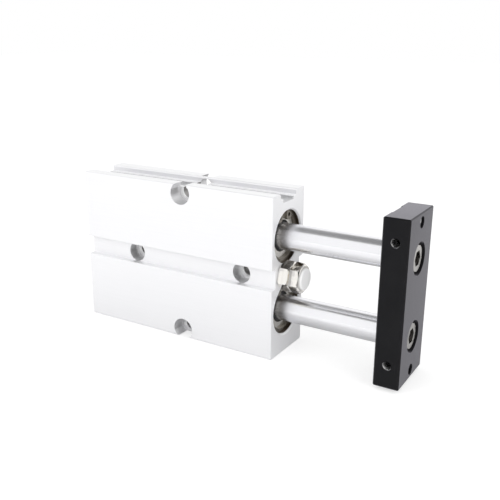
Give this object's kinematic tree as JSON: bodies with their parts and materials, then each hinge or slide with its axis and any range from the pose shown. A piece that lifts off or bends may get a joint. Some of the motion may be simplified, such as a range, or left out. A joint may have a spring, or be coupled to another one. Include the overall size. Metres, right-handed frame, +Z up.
{
  "type": "guided pneumatic cylinder",
  "caption": "Twin-rod guided air cylinder: extruded barrel with two bores, guided piston rods joined by a front plate, and an adjustable stroke bumper.",
  "frame": {"origin": "midway between the two cross bolt holes, on the plane that halves the barrel's thickness, 40 mm behind the front end face", "axes": "+X along the rods towards the front plate, +Y across the thickness along the bolt holes, +Z up across the width towards the sensor recess"},
  "size_m": [0.137, 0.024, 0.062],
  "materials": {
    "clear_anodised": "satin clear anodised",
    "cover_aluminium": "turned, clear anodised",
    "sintered_bronze": "oil-filled sintered bronze",
    "black_rubber": "matt nitrile rubber",
    "spring_steel": "blued spring steel",
    "hard_chrome": "ground and hard chromed",
    "piston_aluminium": "turned",
    "guide_resin": "filled resin",
    "magnet": "plastic-bonded ferrite",
    "zinc_steel": "zinc plated",
    "pad_urethane": "cast urethane",
    "black_anodised": "satin black anodised",
    "nickel_steel": "bright nickel plated",
    "white_urethane": "white cast urethane, slightly translucent"
  },
  "bodies": {
    "barrel": {"barrel": "clear_anodised", "front_cover_upper": "cover_aluminium", "front_cover_lower": "cover_aluminium", "guide_bush_upper": "sintered_bronze", "guide_bush_lower": "sintered_bronze", "rod_seal_upper": "black_rubber", "rod_seal_lower": "black_rubber", "front_oring_upper": "black_rubber", "front_oring_lower": "black_rubber", "front_circlip_upper": "spring_steel", "front_circlip_lower": "spring_steel", "rear_cover_upper": "cover_aluminium", "rear_cover_lower": "cover_aluminium", "rear_oring_upper": "black_rubber", "rear_oring_lower": "black_rubber", "rear_circlip_upper": "spring_steel", "rear_circlip_lower": "spring_steel"},
    "rod_set": {"piston_rod_upper": "hard_chrome", "piston_rod_lower": "hard_chrome", "piston_upper": "piston_aluminium", "piston_lower": "piston_aluminium", "piston_seal_upper": "black_rubber", "piston_seal_lower": "black_rubber", "wear_ring_upper": "guide_resin", "wear_ring_lower": "guide_resin", "magnet_ring": "magnet", "piston_nut_upper": "zinc_steel", "piston_nut_lower": "zinc_steel", "front_pad_upper": "pad_urethane", "front_pad_lower": "pad_urethane", "rear_pad_upper": "pad_urethane", "rear_pad_lower": "pad_urethane", "front_plate": "black_anodised", "plate_screw_upper": "nickel_steel", "plate_screw_lower": "nickel_steel"},
    "bumper_pad": {"bumper_pad": "white_urethane"},
    "bumper_bolt": {"bumper_bolt": "nickel_steel"},
    "lock_nut": {"lock_nut": "nickel_steel"}
  },
  "joints": [
    {"name": "stroke", "type": "slide", "parent": "barrel", "child": "rod_set", "axis": [1, 0, 0], "range_m": [-0.027, 0.003]},
    {"name": "bumper_advance", "type": "slide", "parent": "barrel", "child": "bumper_pad", "axis": [1, 0, 0], "range_m": [-0.0004, 0.0025]},
    {"name": "bumper_turn", "type": "hinge", "parent": "bumper_pad", "child": "bumper_bolt", "pos_m": [0.04, -0.003, 0], "axis": [1, 0, 0], "range_deg": [-144.5, 900.5]},
    {"name": "lock_nut_turn", "type": "hinge", "parent": "barrel", "child": "lock_nut", "pos_m": [0.04, -0.003, 0], "axis": [1, 0, 0], "range_deg": [0, 90]}
  ],
  "couplings": [
    {"joint": "bumper_turn", "follows": "bumper_advance", "rad_per_m": 6283.2}
  ]
}
